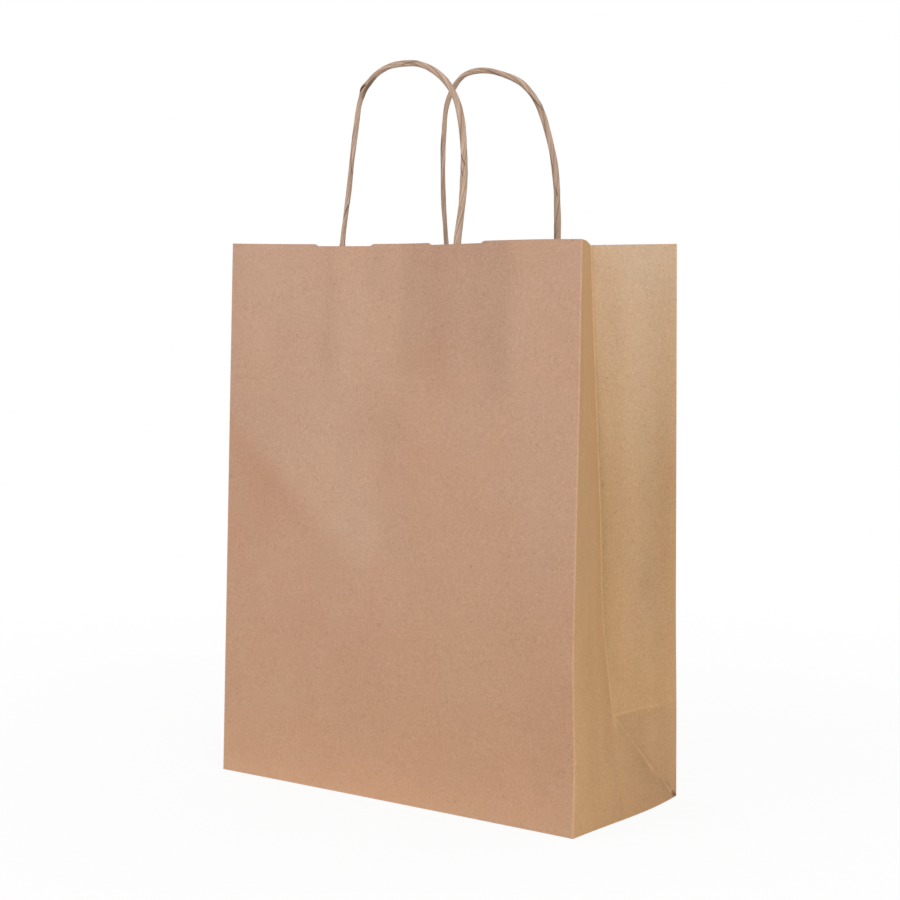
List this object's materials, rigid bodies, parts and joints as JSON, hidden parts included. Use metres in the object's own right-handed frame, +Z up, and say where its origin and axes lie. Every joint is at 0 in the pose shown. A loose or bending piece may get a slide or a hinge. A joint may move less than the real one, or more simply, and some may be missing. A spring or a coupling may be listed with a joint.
{
  "type": "paper carrier bag",
  "caption": "Open brown kraft paper carrier bag with folded-in side gussets, a flat folded block bottom and stiff twisted paper cord handles glued inside the front and back panels.",
  "frame": {"origin": "middle of the base, on the surface the bag stands on", "axes": "+Z up through the open mouth, +X across the front panel to the right as seen from the front, +Y from the front panel to the back panel"},
  "size_m": [0.24, 0.106, 0.4037],
  "materials": {
    "bag_paper": "matt",
    "cord_paper": "matt",
    "patch_paper": "matt"
  },
  "bodies": {
    "root": {"paper_bag": "bag_paper", "front_handle": "cord_paper", "back_handle": "cord_paper", "front_handle_patch": "patch_paper", "back_handle_patch": "patch_paper"}
  },
  "joints": []
}
